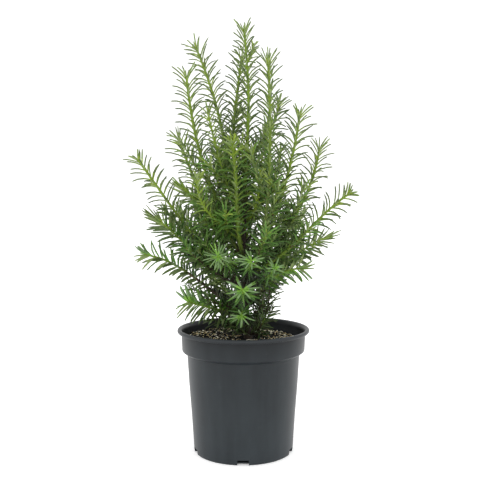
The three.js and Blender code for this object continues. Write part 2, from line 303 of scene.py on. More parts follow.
@dataclass(frozen=True)
class CompostFinish:
    """Moist peaty compost: near-black crumbs among umber fibre."""

    black: Colour = (7, 6, 5)
    umber: Colour = (24, 20, 14)
    tan: Colour = (60, 51, 36)
    crumbly: Pair = (0.4, 0.66)
    fibrous: Pair = (0.6, 0.72)

    def material(self) -> Material:
        """Builds the finish.

        Returns:
            The material.
        """
        bench = Bench("compost_peat")
        crumbs, fibres = bench.noise(420, 5, 0.7), bench.noise(900, 4, 0.6, (0.3, 1, 1))
        base = bench.blend(crumbs.between(*self.crumbly), self.black, self.umber)
        return bench.shade(
            Base_Color=bench.blend(fibres.between(*self.fibrous) * 0.7, base, self.tan),
            Roughness=0.96 - crumbs * 0.12,
            Normal=bench.bump(crumbs * 0.7 + fibres * 0.3, 0.9, 0.0012),
            Specular_IOR_Level=0.25,
        )


# -------- meshes

# A box one unit wide about the origin; every face has four corners.
BOX = np.array([(x, y, z) for x in (-1, 1) for y in (-1, 1) for z in (-1, 1)]) / 2
BOX_FACES = np.array([(0, 1, 3, 2), (4, 6, 7, 5), (0, 4, 5, 1), (2, 3, 7, 6), (0, 2, 6, 4), (1, 5, 7, 3)])
# How far the two end points of a tube stand out past its first and last ring, in radii.
TUBE_ENDS = np.array([[-0.3], [0.8]])
# No stem starts along this direction, so it can set where a stem's sides begin.
ASIDE = (0.31, -0.95, 0.05)


class Shape:
    """A mesh in the making: points in millimetres, faces of three or four corners, each with a tone."""

    def __init__(self) -> None:
        """Starts empty."""
        self.points: list[Array] = []
        self.faces: list[Array] = []
        self.tones: list[Array] = []
        self.count = 0

    def add(self, points: Array, faces: Array, tones: Union[int, Array] = 0) -> None:
        """Adds points and the faces between them.

        Args:
            points: their places, one row each.
            faces: four corner numbers in a row; the last is -1 for a three-sided face.
            tones: material slot of every face, or one for all.
        """
        self.points.append(points)
        self.faces.append(np.where(faces < 0, -1, faces + self.count))
        self.tones.append(np.broadcast_to(np.asarray(tones, int), (len(faces),)))
        self.count += len(points)

    def piece(self, name: str, finishes: Sequence[Material], crease: Optional[float] = None) -> Object:
        """Makes the object.

        Args:
            name: the piece's name.
            finishes: its materials, in the order of the tones.
            crease: angle in degrees over which an edge stays sharp, or None where none is.

        Returns:
            The object, linked to the scene.
        """
        mesh = bpy.data.meshes.new(name)
        corners = [[c for c in face if c >= 0] for face in np.concatenate(self.faces).tolist()]
        mesh.from_pydata((np.concatenate(self.points) * MM).tolist(), [], corners, shade_flat=False)
        mesh.validate()
        for finish in finishes:
            mesh.materials.append(finish)
        mesh.polygons.foreach_set("material_index", np.concatenate(self.tones).astype(np.int32))
        if crease is not None:
            smooth(mesh, crease)
        made = bpy.data.objects.new(name, mesh)
        bpy.context.scene.collection.objects.link(made)
        return made


def smooth(mesh: bpy.types.Mesh, crease: float) -> None:
    """Shades a mesh smooth, apart from edges sharper than an angle in degrees."""
    mesh.shade_smooth()
    mesh.set_sharp_from_angle(angle=math.radians(crease))


def unit(vectors: Array) -> Array:
    """Scales each row to a length of 1."""
    return vectors / np.maximum(np.linalg.norm(vectors, axis=-1, keepdims=True), 1e-9)


def around(sides: int) -> Array:
    """Evenly spaced angles round a circle, in radians."""
    return np.arange(sides) * math.tau / sides


def circle(radius: float, height: float, sides: int) -> Array:
    """Points round a level circle about the pot's axis."""
    angle = around(sides)
    return np.stack([radius * np.cos(angle), radius * np.sin(angle), np.full(sides, height)], -1)


def heading(turn: float, climb: float = 0.0) -> Array:
    """A direction from its turn about the vertical and its climb above level, in degrees."""
    turn, climb = math.radians(turn), math.radians(climb)
    return np.array([math.cos(climb) * math.cos(turn), math.cos(climb) * math.sin(turn), math.sin(climb)])


def lean(angle: Array, ahead: Array, aside: Array) -> Array:
    """Directions that lean over from one direction to another, by angles in degrees."""
    angle = np.radians(angle)[:, None]
    return np.cos(angle) * ahead + np.sin(angle) * aside


def ring_faces(rings: int, sides: int) -> Array:
    """Faces between rings of points, with a pole at either end.

    Args:
        rings: number of rings.
        sides: points in each ring; the two poles follow the last ring.

    Returns:
        Four corner numbers in each row.
    """
    side = np.arange(sides)
    after, last, none = (side + 1) % sides, (rings - 1) * sides, np.full(sides, -1)
    wall = np.stack([side, after, after + sides, side + sides], -1)
    start = np.stack([after, side, np.full(sides, last + sides), none], -1)
    end = np.stack([last + side, last + after, np.full(sides, last + sides + 1), none], -1)
    return np.concatenate([*(wall + row for row in range(0, last, sides)), start, end])


class Axis:
    """A line that something grows along, with two sideways directions at every step."""

    def __init__(self, points: Array, step: float = 2.0) -> None:
        """Spaces points evenly along a line.

        Args:
            points: the line, one point in each row.
            step: the spacing wanted.
        """
        gaps = np.linalg.norm(np.diff(points, axis=0), axis=1)
        run = np.concatenate([[0], np.cumsum(gaps)])
        self.length = float(run[-1])
        count = max(4, int(round(self.length / step)) + 1)
        self.run = np.linspace(0, self.length, count)
        self.points = np.stack([np.interp(self.run, run, points[:, k]) for k in range(3)], -1)
        self.along = unit(np.gradient(self.points, axis=0))
        side = unit(np.cross(self.along[0], ASIDE))
        sides = []
        for along in self.along:
            side = unit(side - along * side.dot(along))
            sides.append(side)
        self.side = np.array(sides)
        self.over = np.cross(self.along, self.side)

    def at(self, distance: Array) -> tuple[Array, Array, Array, Array]:
        """Reads the line at some distances from its foot.

        Args:
            distance: the distances.

        Returns:
            The points, the directions along the line, and the two sideways directions.
        """
        tables = (self.points, self.along, self.side, self.over)
        read = [np.stack([np.interp(distance, self.run, t[:, k]) for k in range(3)], -1) for t in tables]
        return read[0], unit(read[1]), unit(read[2]), unit(read[3])

    def tube(self, radii: Array) -> tuple[Array, Array]:
        """A closed skin round the line.

        Args:
            radii: a radius for each step (rows) and each side (columns).

        Returns:
            The points and the faces.
        """
        angle = around(radii.shape[1])[:, None]
        spoke = np.cos(angle) * self.side[:, None] + np.sin(angle) * self.over[:, None]
        rings = self.points[:, None] + spoke * radii[..., None]
        ends = self.points[[0, -1]] + self.along[[0, -1]] * radii[[0, -1]].mean(1)[:, None] * TUBE_ENDS
        return np.concatenate([rings.reshape(-1, 3), ends]), ring_faces(len(self.points), len(angle))


# -------- growth habits


class Tone(Enum):
    """The greens of the needles as display colours, in the order of their material slots."""

    LIME = (146, 168, 50)
    FRESH = (128, 150, 58)
    OLIVE = (105, 131, 50)
    LEAF = (85, 120, 45)
    MOSS = (67, 103, 38)
    SHADE = (50, 80, 30)
    DEEP = (31, 45, 19)
    VIVID = (116, 160, 62)
    CLEAR = (92, 134, 55)
    BLUISH = (111, 139, 90)
    UNDER_YOUNG = (136, 154, 96)
    UNDER_OLD = (90, 109, 60)
    DUSK = (99, 116, 66)
    DIM = (75, 95, 50)
    RUSTY = (62, 64, 44)


def slots(*tones: Tone) -> Array:
    """The material slots of some tones."""
    return np.array([list(Tone).index(tone) for tone in tones])


def deal(ladder: Sequence[Tone], level: Array, lag: Sequence[float]) -> Array:
    """Slots that levels reach on a ladder of tones, a column for each part of a needle and its lag."""
    steps = np.round(level[:, None] - np.array(lag))
    return slots(*ladder)[np.clip(steps, 0, len(ladder) - 1).astype(int)]


(
    LIME, FRESH, OLIVE, LEAF, MOSS, SHADE, DEEP, VIVID, CLEAR, BLUISH,
    UNDER_YOUNG, UNDER_OLD, DUSK, DIM, RUSTY,
) = Tone
STEM_COLOURS: tuple[Colour, ...] = ((116, 141, 44), (104, 128, 43), (90, 104, 45), (78, 68, 44), (54, 44, 34))

# Ladders of tones, from the tip of a shoot down to its oldest part.
AGEING = (LEAF, MOSS, SHADE, DEEP)
SUNLIT = (LIME, FRESH, OLIVE, *AGEING)
TENDER = (VIVID, CLEAR, *AGEING)
MATURE = (FRESH, OLIVE, *AGEING)
VERDANT = (FRESH, CLEAR, *AGEING)
MISTY = (BLUISH, BLUISH, *AGEING)
FROSTY = (VIVID, BLUISH, BLUISH, LEAF, MOSS, SHADE)
FADED = (DIM, DIM, RUSTY, SHADE, RUSTY, DEEP)
DUSKY = (OLIVE, DUSK, DUSK, DIM, DIM, SHADE, DEEP)


@dataclass(frozen=True)
class Growth:
    """How one kind of shoot grows and carries its needles; angles are degrees off the shoot's own line."""

    spacing: float
    length: float
    width: float
    leave: float  # a needle's angle at its foot
    arrive: float  # and at its tip
    fold: float = 20.0  # how much less the ones on top lean out
    droop: float = 0.25
    comb: float = 0.0  # how strongly they part to the upper and lower side, or below 0 to the flanks
    facing: float = 0.0  # the same on a shoot that runs sideways, the reverse on one that runs to the front
    roll: float = 36.0  # how freely the blades turn about their own length
    twist: float = 0.0  # the turn that they have in common
    tuft: int = 7  # needles crowded at the tip
    bud: float = 12.0  # how far back the tip's influence reaches
    short: float = 0.3  # how much shorter the needles at the tip are
    shrink: float = 0.12  # how much shorter the oldest ones are
    early: float = 0.5  # 0 where a needle bends evenly, 1 where it bends mostly near its foot
    stray: float = 7.0  # spread of the angle at a needle's tip
    close: float = 0.42  # how far the tip's needles fold forwards
    grip: float = 0.0  # how far back they do so, where that isn't the same as bud
    hug: float = 0.7  # how much that folds their feet
    greens: tuple[Tone, ...] = TENDER
    ends: tuple[Tone, ...] = ()  # tones of a needle's outer part, where they differ
    first: float = 0.0  # steps of tone taken just behind the tip
    pace: float = 50.0  # length of shoot to each further step
    girth: Pair = (1.6, 1.0)  # radius at the foot and the tip
    haste: float = 1.0  # how far back its bark ages, as a share of the usual distance


class Habit(Enum):
    """Kinds of shoot."""

    LEADING = Growth(
        2.1, 28.5, 2.75, 30, 64, 14, 0.1, facing=0.2, tuft=5, early=0.2, greens=SUNLIT, ends=DUSKY,
        first=1.4, pace=130, girth=(2.8, 1.7),
    )
    UPRIGHT = Growth(
        2.15, 30.5, 2.75, 35, 77, 20, 0.13, comb=-0.02, facing=0.2, tuft=5, short=0.36, early=0.1,
        greens=SUNLIT, ends=DUSKY, first=1.5, pace=120, girth=(2.6, 1.6),
    )
    ARCHING = Growth(
        2.8, 29, 3.3, 36, 76, 4, 0.2, comb=0.4, roll=32, twist=40, tuft=6, bud=15, short=0.5, early=0.15,
        stray=9, greens=SUNLIT, ends=DUSKY, first=1.3, pace=64, girth=(2.6, 1.5),
    )
    SPREADING = Growth(
        1.5, 31, 3.8, 36, 66, -6, 0.3, comb=0.46, roll=28, twist=64, tuft=4, bud=15, short=0.34, early=0.1,
        stray=9, close=0.96, grip=16, hug=0.94, greens=MATURE, ends=DUSKY, first=0.7, pace=32,
        girth=(2.2, 1.2), haste=0.45,
    )
    OPEN = Growth(
        2.0, 30, 4.3, 40, 72, 0, 0.3, comb=0.44, roll=30, twist=58, tuft=6, bud=11, short=0.42, shrink=1.1,
        early=0.1, stray=12, close=0.5, ends=MISTY, first=0.8, pace=26, girth=(2.2, 1.2), haste=0.25,
    )
    FAN = Growth(
        1.35, 29, 4.5, 42, 64, 14, 0.1, comb=0.44, roll=24, twist=52, tuft=3, bud=7, short=0.14, stray=8,
        close=0.16, ends=MISTY, first=1.7, pace=44, haste=0.5,
    )
    COMPACT = Growth(
        1.9, 27, 2.9, 36, 82, 16, 0.3, tuft=6, bud=24, short=0.6, shrink=0.0, early=0.2, close=0.5,
        greens=SUNLIT, first=0.9, pace=60, girth=(2.6, 1.6), haste=0.95,
    )
    ROSETTE = Growth(
        1.8, 25, 2.9, 64, 98, 0, 0.4, comb=-0.2, roll=24, bud=5, short=0.2, close=0.12, ends=MISTY,
        first=1.5, pace=18, haste=0.3,
    )
    NODDING = Growth(
        2.0, 22, 2.7, 50, 72, 0, 0.4, comb=-0.2, roll=24, tuft=6, short=0.1, close=0.1, ends=MISTY,
        first=1.8, pace=20, haste=0.3,
    )
    FROSTED = Growth(
        1.1, 23, 1.7, 60, 92, 0, 0.2, roll=40, tuft=10, bud=6, short=0.2, close=0.1, greens=FROSTY,
        first=1.2, pace=24, haste=0.3,
    )
    WORN = Growth(
        2.1, 23, 2.0, 42, 66, 6, 0.1, comb=0.1, facing=0.3, roll=34, tuft=4, early=0.1, greens=FADED,
        pace=60, haste=0.04,
    )
    INNER = Growth(
        2.2, 28, 2.8, 34, 74, 12, 0.2, comb=-0.3, roll=34, tuft=5, early=0.1, greens=VERDANT, first=0.5
    )


FACING = (Habit.ROSETTE, Habit.FROSTED, Habit.NODDING)  # the habits of shoots that run to the front


@dataclass(frozen=True)
class Shoot:
    """A shoot of the crown: how it leaves the trunk and where its tip stands."""

    name: str
    bearing: float
    foot: float  # height at which it leaves the trunk's centre
    reach: float  # level distance from there to its tip
    tip: float  # height of its tip
    climb: Pair  # slope at its foot and at its tip
    veer: float = 0.0  # how far it bows to one side
    bare: float = 0.3  # share of it that is old wood
    habit: Habit = Habit.UPRIGHT
    bough: bool = False
    sides: int = 3
    vigour: float = 1.0
    shade: float = 0.0  # steps of tone darker than usual
    naked: float = 0.4  # share of the old wood that has no needles


SHOOTS: tuple[Shoot, ...] = (
    Shoot("left_top", 150, 326, 82, 583, (70, 64), -7, 0.34, sides=2, shade=-0.4),
    Shoot("right_top", -53, 248, 56, 549, (20, 93), -14, 0.38, Habit.LEADING),
    Shoot("back_top", 99, 371, 38, 567, (36, 72), 25, sides=0),
    Shoot("left_high", -149, 299, 90, 529, (46, 84), 7, 0.32, bough=True, shade=-0.4),
    Shoot("right_high", -37, 226, 94, 475, (66, 80), 7, 0.42, bough=True),
    Shoot("right_small", 38, 400, 60, 502, (74, 87), sides=2),
    Shoot("left_inner", -128, 328, 79, 480, (44, 72), 6, sides=2, vigour=0.86, shade=0.3),
    Shoot("left_mid", 153, 275, 110, 453, (26, 67), -15, 0.42, sides=1, shade=-0.5),
    Shoot("right_mid", 19, 258, 118, 437, (38, 79), -11, 0.42, bough=True),
    Shoot("front_tall", -102, 283, 74, 440, (21, 50), 0, 0.4, Habit.COMPACT, True, 0, 1.1, naked=0.6),
    Shoot("left_low", -165, 236, 150, 417, (37, 54), 12, 0.42, Habit.ARCHING, True),
    Shoot("right_low", -15, 253, 151, 371, (18, 33), 11, 0.4, Habit.ARCHING, sides=2),
    Shoot("right_inner", 37, 332, 66, 433, (36, 86)),
    Shoot("front_high", -68, 319, 64, 399, (36, 84), 0, 0.4, Habit.COMPACT, False, 0, 0.74, -0.8, 0.9),
    Shoot("left_near", -130, 299, 94, 394, (35, 105), 0, 0.42, Habit.COMPACT, False, 3, 0.9, 0.5),
    Shoot("left_front", -139, 271, 106, 376, (62, 33), 0, 0.5, Habit.SPREADING),
    Shoot("left_skirt", -156, 237, 131, 337, (16, 34), 3, 0.4, Habit.SPREADING, True, shade=0.9),
    Shoot("right_skirt", 20, 228, 130, 306, (34, 20), -5, 0.4, Habit.SPREADING, True, 1, 0.92),
    Shoot("left_foot", 170, 203, 149, 281, (18, 8), -9, 0.36, Habit.OPEN, True, 1, 1.08),
    Shoot("right_foot", -19, 208, 87, 265, (44, -8), 6, 0.4, Habit.OPEN, sides=0, shade=-0.5),
    Shoot("right_base", -12, 170, 33, 245, (6, 88), 0, 0.2, Habit.WORN, sides=2),
    Shoot("front_left", -112, 256, 92, 288, (22, 10), 0, 0.45, Habit.FROSTED, sides=0),
    Shoot("front_centre", -83, 262, 87, 284, (10, 50), 0, 0.45, Habit.ROSETTE, False, 0, 0.86, 0.7),
    Shoot("front_right", -64, 244, 97, 274, (12, 44), 0, 0.45, Habit.ROSETTE, False, 0, 0.7, 0.6),
    Shoot("front_low", -91, 222, 97, 246, (14, 32), 0, 0.4, Habit.ROSETTE, sides=0),
    Shoot("front_foot", -95, 186, 73, 206, (20, -30), 0, 0.34, Habit.NODDING, sides=0, shade=1.5),
    Shoot("left_front_foot", -150, 204, 92, 222, (-4, 18), 0, 0.4, Habit.FAN, False, 0, 1.0, 0.1, 0.2),
    Shoot("back_high_left", 118, 298, 84, 428, (40, 78), -8, 0.4),
    Shoot("back_high_right", 62, 302, 78, 432, (42, 80), 6, 0.4),
    Shoot("back_mid", 92, 260, 114, 378, (30, 62), 8, 0.42, bough=True),
    Shoot("back_mid_left", 142, 244, 122, 340, (28, 44), 6, 0.46, Habit.SPREADING),
    Shoot("back_mid_right", 44, 242, 124, 336, (26, 46), -6, 0.46, Habit.SPREADING),
    Shoot("back_low", 88, 214, 115, 288, (20, 34), -6, 0.42, Habit.SPREADING, True),
    Shoot("back_low_left", 119, 204, 108, 246, (20, 22), 6, 0.4, Habit.SPREADING, sides=1),
    Shoot("back_low_right", 58, 208, 100, 254, (18, 24), -8, 0.4, Habit.SPREADING, sides=0),
)

EXTRA_TWIGS: tuple[Shoot, ...] = (
    Shoot("leader_twig", -20, 554, 10, 578, (40, 76), 0, 0.1, Habit.COMPACT, sides=0, vigour=0.72),
    Shoot("low_right", -52, 168, 38, 196, (4, 62), 0, 0.3, Habit.WORN, sides=1),
    Shoot("low_front", -112, 170, 34, 192, (6, 50), 0, 0.3, Habit.WORN, sides=1),
    Shoot("low_left", -158, 172, 40, 204, (10, 60), 0, 0.3, Habit.WORN, sides=1),
    Shoot("low_back", 62, 170, 44, 206, (8, 60), 0, 0.3, Habit.WORN, sides=2),
    Shoot("low_behind", 122, 176, 42, 216, (8, 60), 0, 0.3, Habit.WORN, sides=2),
)


@dataclass
class Stem:
    """A stem that has grown: its line, its thickness and the needles that it will carry."""

    axis: Axis
    radii: Pair
    leafy: float  # distance from its foot to its first needle
    habit: Habit
    # steps of tone darker than usual: the shoot's own tone together with the painted shade of low and inner
    # shoots
    spray: float  # steps of tone darker than usual
    vigour: float = 1.0
    main: bool = False
    skinned: bool = True
    sides: int = 0


@dataclass
class TrunkLine:
    """The trunk: height, then how far its centre stands right of and behind the pot's axis, and its girth."""

    sway: tuple[Triple, ...] = (
        (162, 6.6, 0), (222, 1.2, 3), (298, 0.8, 3), (398, 3.8, -2), (508, 7.3, 2), (606, 1.2, 0)
    )
    smoothness: int = 24
    foot: float = 162.5
    top: float = 605.0
    radii: Pair = (4.2, 1.5)
    thinning: float = 0.7
    flare: Pair = (2.6, 9.0)

    def __post_init__(self) -> None:
        """Fits a smooth curve through the sway."""
        knots = np.array(self.sway, float)
        ends = np.concatenate([[2 * knots[0] - knots[1]], knots, [2 * knots[-1] - knots[-2]]])
        t = np.linspace(0, 1, self.smoothness)[:, None]
        rows = []
        for a, b, c, d in zip(ends, ends[1:], ends[2:], ends[3:]):
            bend = 2 * b + (c - a) * t + (2 * a - 5 * b + 4 * c - d) * t**2 + (3 * b - a - 3 * c + d) * t**3
            rows.append(bend / 2)
        self.heights, *self.offsets = np.concatenate(rows).T

    def centre(self, height: Any) -> Array:
        """The centre at a height, or a row for each of many."""
        height = np.asarray(height, float)
        return np.stack([*(np.interp(height, self.heights, row) for row in self.offsets), height], -1)

    def radius(self, height: Array) -> Array:
        """The trunk's radius, flaring at the root.

        Args:
            height: some heights.

        Returns:
            The radii there.
        """
        rise, (wide, fall) = height - self.foot, self.flare
        taper = np.clip(rise / (self.top - self.foot), 0, 1) ** self.thinning
        return np.interp(taper, (0, 1), self.radii) + wide * np.exp(-rise / fall)


@dataclass(frozen=True)
class Side:
    """How side shoots of one kind differ from those of another."""

    rise: float  # how strongly they turn upwards
    radii: Pair
    bare: float  # distance from the foot to the first needle
    mottle: float  # spread of their shade
    uneven: Pair  # range of chance in their length


@dataclass
class Branching:
    """The seeded rule of growth; each table gives a value for shares of the trunk, or for heights."""

    seed: int = 20
    leader: Pair = (380, 597)  # heights between which the trunk itself has needles
    leader_radii: Pair = (1.9, 1.4)
    arm: float = 0.36  # how far each end steers a main shoot's curve, as a share of its span
    wander: float = 0.12
    mottle: float = 0.3  # spread of the shade of main shoots
    worn_below: float = 232.0  # height under which side shoots are worn
    trunk: Triple = (182, 402, 8.0)  # first and last height of the trunk's side shoots, and their spacing
    first_turn: float = 0.6
    unsteady: float = 0.2  # spread of the turn from one to the next, in radians
    gap: Pair = (226, 350)  # heights between which none grows to the front
    front: float = -0.55
    lengths: Table = ((0, 0.3, 0.7, 1), (48, 88, 74, 40))
    climbs: Table = ((0, 0.3, 1), (14, 36, 58))
    climb_spread: float = 7.0
    # painted shade on the trunk's side shoots: steps of tone darker by share of the trunk, darkest low in the
    # heart of the crown
    painted_darkening: Table = ((0, 0.35, 1), (4.0, 1.6, -0.3))
    inner: Side = Side(0.7, (1.5, 0.8), 9, 0.4, (0.8, 1.15))
    stretch: Pair = (0.12, 0.46)  # shares of a main shoot between which its side shoots leave it
    within: Pair = (0.1, 0.9)  # the part of its share of that stretch in which each one leaves
    off: Pair = (27.0, 5.0)  # the angle at which it leaves and the spread of that
    longest: float = 68.0
    taper: Pair = (0.44, 0.35)
    # painted shade on the side shoots of main shoots: steps of tone darker by the height in millimetres where
    # they leave, darkest low down
    outer_painted_darkening: Table = ((200, 310), (2.4, 0.1))
    outer: Side = Side(0.4, (1.25, 0.8), 6, 0.5, (0.8, 1.1))


@dataclass
class Crown:
    """Everything that grows: the leader, the main shoots and the side shoots that fill the heart."""

    line: TrunkLine = field(default_factory=TrunkLine)
    rule: Branching = field(default_factory=Branching)

    def __post_init__(self) -> None:
        """Seeds the growth."""
        self.dice = np.random.default_rng(self.rule.seed)

    def main_line(self, shoot: Shoot) -> Array:
        """The line of a main shoot.

        Args:
            shoot: the shoot.

        Returns:
            Points from the trunk's centre to its tip.
        """
        start = self.line.centre(shoot.foot)
        end = start + shoot.reach * heading(shoot.bearing)
        end[2] = shoot.tip
        arm = self.rule.arm * float(np.linalg.norm(end - start))
        near = start + arm * heading(shoot.bearing + shoot.veer, shoot.climb[0])
        far = end - arm * heading(shoot.bearing - shoot.veer, shoot.climb[1])
        t = np.linspace(0, 1, 40)[:, None]
        s = 1 - t
        return s**3 * start + 3 * s**2 * t * near + 3 * s * t**2 * far + t**3 * end

    def side(self, kind: Side, start: Array, leave: Array, length: float, shade: float) -> Stem:
        """Grows a side shoot, which bends upwards as it goes.

        Args:
            kind: what kind it is.
            start: where it leaves its parent.
            leave: its first direction.
            length: its length.
            shade: steps of tone darker than usual, painted shade included, before its own chance.

        Returns:
            The stem.
        """
        arrive = unit(leave + kind.rise * UP + self.dice.normal(0, self.rule.wander, 3))
        t = np.linspace(0, 1, 12)[:, None]
        axis = Axis(start + length * (leave * (t - t**2 / 2) + arrive * t**2 / 2))
        habit = Habit.WORN if start[2] < self.rule.worn_below else Habit.INNER
        return Stem(axis, kind.radii, kind.bare, habit, self.dice.normal(shade, kind.mottle))

    def main_stems(self) -> list[Stem]:
        """Grows the leader and the main shoots.

        Returns:
            Their stems.
        """
        rule = self.rule
        leader = Axis(self.line.centre(np.linspace(*rule.leader, 60)))
        stems = [Stem(leader, rule.leader_radii, 0, Habit.LEADING, 0, main=True, skinned=False)]
        for shoot in SHOOTS + EXTRA_TWIGS:
            axis = Axis(self.main_line(shoot))
            foot, tip = (radius * shoot.vigour**2 for radius in shoot.habit.value.girth)
            bare = axis.length * shoot.bare * shoot.naked
            spray = self.dice.normal(shoot.shade, rule.mottle)
            kind = (shoot.habit, spray, shoot.vigour)
            stems.append(Stem(axis, (foot, tip), bare, *kind, main=True, sides=shoot.sides))
        return stems

    def trunk_sides(self) -> list[Stem]:
        """Grows side shoots straight from the trunk, longest low down.

        Returns:
            Their stems.
        """
        rule, dice, stems, turn = self.rule, self.dice, [], self.rule.first_turn
        low, high, spacing = rule.trunk
        for height in np.arange(low, high, spacing):
            turn += GOLDEN + dice.normal(0, rule.unsteady)
            if rule.gap[0] < height < rule.gap[1] and math.sin(turn) < rule.front:
                continue
            share = (height - low) / (high - low)
            length = np.interp(share, *rule.lengths) * dice.uniform(*rule.inner.uneven)
            climb = np.interp(share, *rule.climbs) + dice.normal(0, rule.climb_spread)
            leave = heading(math.degrees(turn), climb)
            # painted shade, deepest on the low side shoots inside the crown
            shade = np.interp(share, *rule.painted_darkening)
            stems.append(self.side(rule.inner, self.line.centre(height), leave, length, shade))
        return stems

    def side_shoots(self, parent: Stem) -> list[Stem]:
        """Grows side shoots from the lower part of another stem.

        Args:
            parent: the stem that branches.

        Returns:
            The new stems.
        """
        rule, dice, stems = self.rule, self.dice, []
        (low, high), (size, less) = rule.stretch, rule.taper
        turn = dice.uniform(0, math.tau)
        for number in range(parent.sides):
            share = low + (high - low) * (number + dice.uniform(*rule.within)) / parent.sides
            point, along, side, over = (r[0] for r in parent.axis.at(np.array([share * parent.axis.length])))
            turn += GOLDEN
            off = math.radians(dice.normal(*rule.off))
            out = math.cos(turn) * side + math.sin(turn) * over
            leave = math.cos(off) * along + math.sin(off) * out
            length = min(rule.longest, parent.axis.length * (size - less * share))
            length = length * dice.uniform(*rule.outer.uneven)
            # the parent's tone, with painted shade added where the side shoot leaves low down
            shade = parent.spray + np.interp(point[2], *rule.outer_painted_darkening)
            stems.append(self.side(rule.outer, point, leave, length, shade))
        return stems

    def grow(self) -> list[Stem]:
        """Grows everything, from the leader to the last side shoot."""
        mains, inner = self.main_stems(), self.trunk_sides()
        return mains + inner + [side for stem in mains for side in self.side_shoots(stem)]


# -------- needles and twigs


@dataclass
class Blades:
    """Many needles at once, a row for each: where it starts, its directions, its length and full width."""

    base: Array
    leave: Array
    arrive: Array
    across: Array
    size: Array
    early: float

    def spine(self, t: float) -> tuple[Array, Array]:
        """The middle lines at a share of their length.

        Args:
            t: the share.

        Returns:
            The points and the directions there.
        """
        turned = t * (1 + self.early) - self.early * t**2
        swept = (1 + self.early) * t**2 / 2 - self.early * t**3 / 3
        points = self.base + self.size[:, :1] * (self.leave * (t - swept) + self.arrive * swept)
        return points, unit(self.leave * (1 - turned) + self.arrive * turned)


